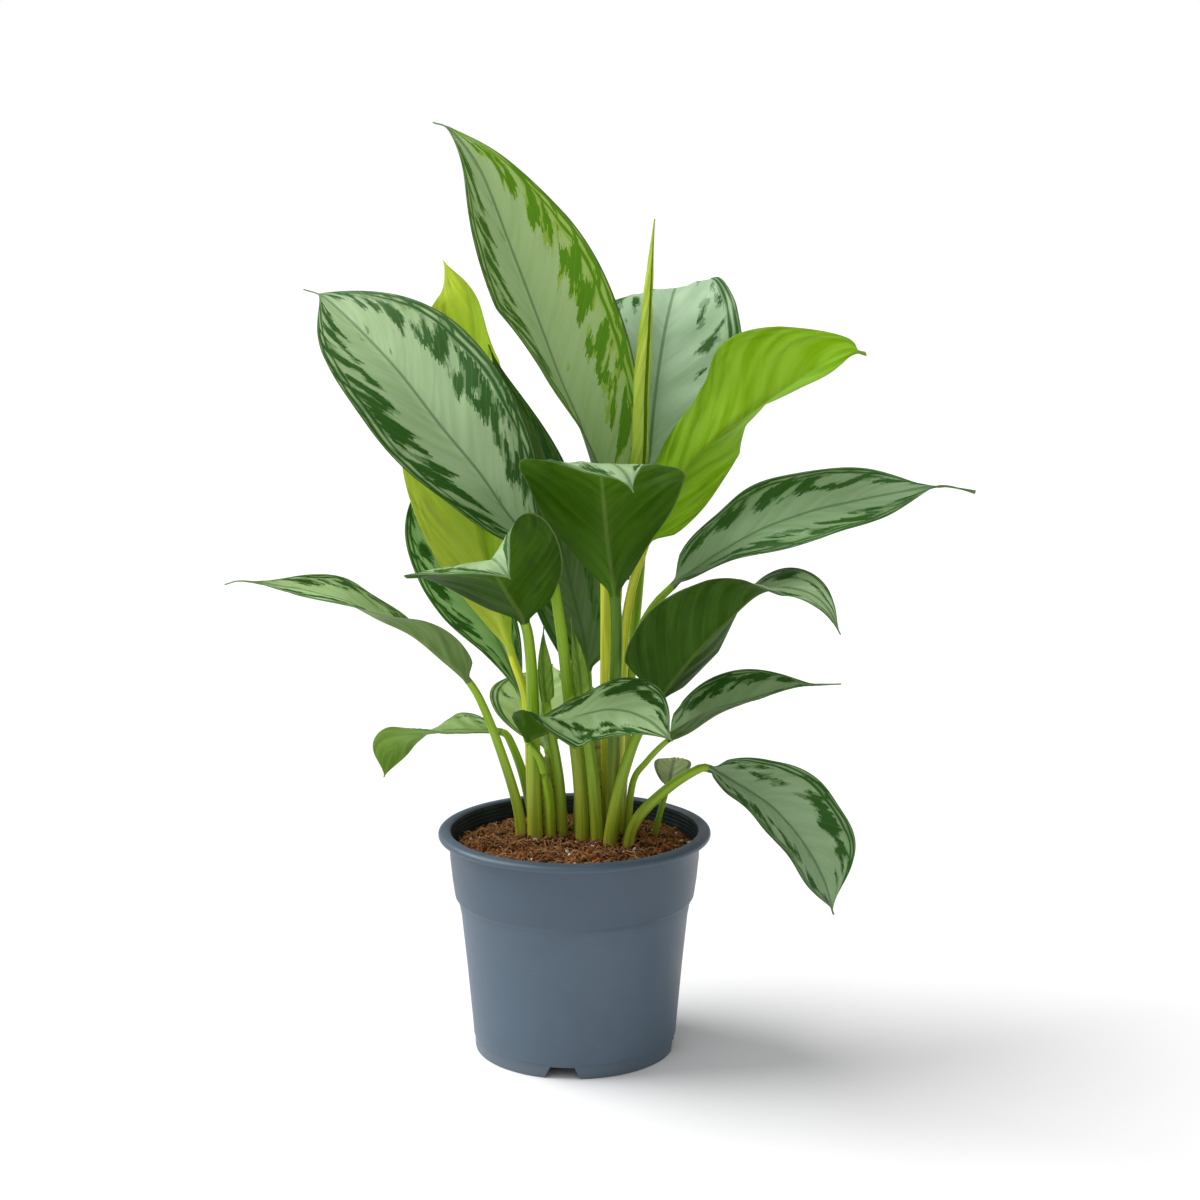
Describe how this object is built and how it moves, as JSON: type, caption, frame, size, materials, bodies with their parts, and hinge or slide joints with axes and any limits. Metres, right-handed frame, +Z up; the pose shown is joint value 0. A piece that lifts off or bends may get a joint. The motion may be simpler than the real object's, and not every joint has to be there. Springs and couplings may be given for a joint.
{
  "type": "potted chinese evergreen",
  "caption": "Leafy house plant with upright stalks and broad pointed blades patterned in green and silver, rooted in moist potting soil in a plain tapered nursery pot.",
  "frame": {"origin": "on the ground that the pot stands on, under the centre of the whole plant's box; the axis of the pot stands at x -0.018, y -0.0135", "axes": "+Z up along the axis of the pot, -Y towards the front of the plant, +X to the right as the front is seen"},
  "size_m": [0.4505, 0.2235, 0.5745],
  "materials": {
    "pot_plastic": "satin",
    "potting_soil": "matte",
    "cane_bark": "satin",
    "leaf_silver": "satin",
    "leaf_green": "satin",
    "leaf_lime": "satin",
    "stalk_green": "satin"
  },
  "bodies": {
    "root": {"pot": "pot_plastic", "soil": "potting_soil", "cane_left": "cane_bark", "cane_right": "cane_bark", "leaf_top": "leaf_silver", "leaf_spear": "leaf_lime", "leaf_left_big": "leaf_silver", "leaf_left_lime": "leaf_lime", "leaf_left_back": "leaf_green", "leaf_left_curled": "leaf_silver", "leaf_front": "leaf_silver", "leaf_back_right": "leaf_silver", "leaf_right_lime": "leaf_lime", "leaf_right_long": "leaf_silver", "leaf_right_twisted": "leaf_silver", "leaf_right_low": "leaf_silver", "leaf_right_drooping": "leaf_silver", "leaf_right_small": "leaf_silver", "leaf_front_low": "leaf_silver", "leaf_left_long": "leaf_silver", "leaf_left_low": "leaf_green", "leaf_back_pale": "leaf_silver", "leaf_back_dark": "leaf_green", "sheath_middle": "stalk_green", "sheath_left": "stalk_green", "sheath_top": "stalk_green"}
  },
  "joints": []
}
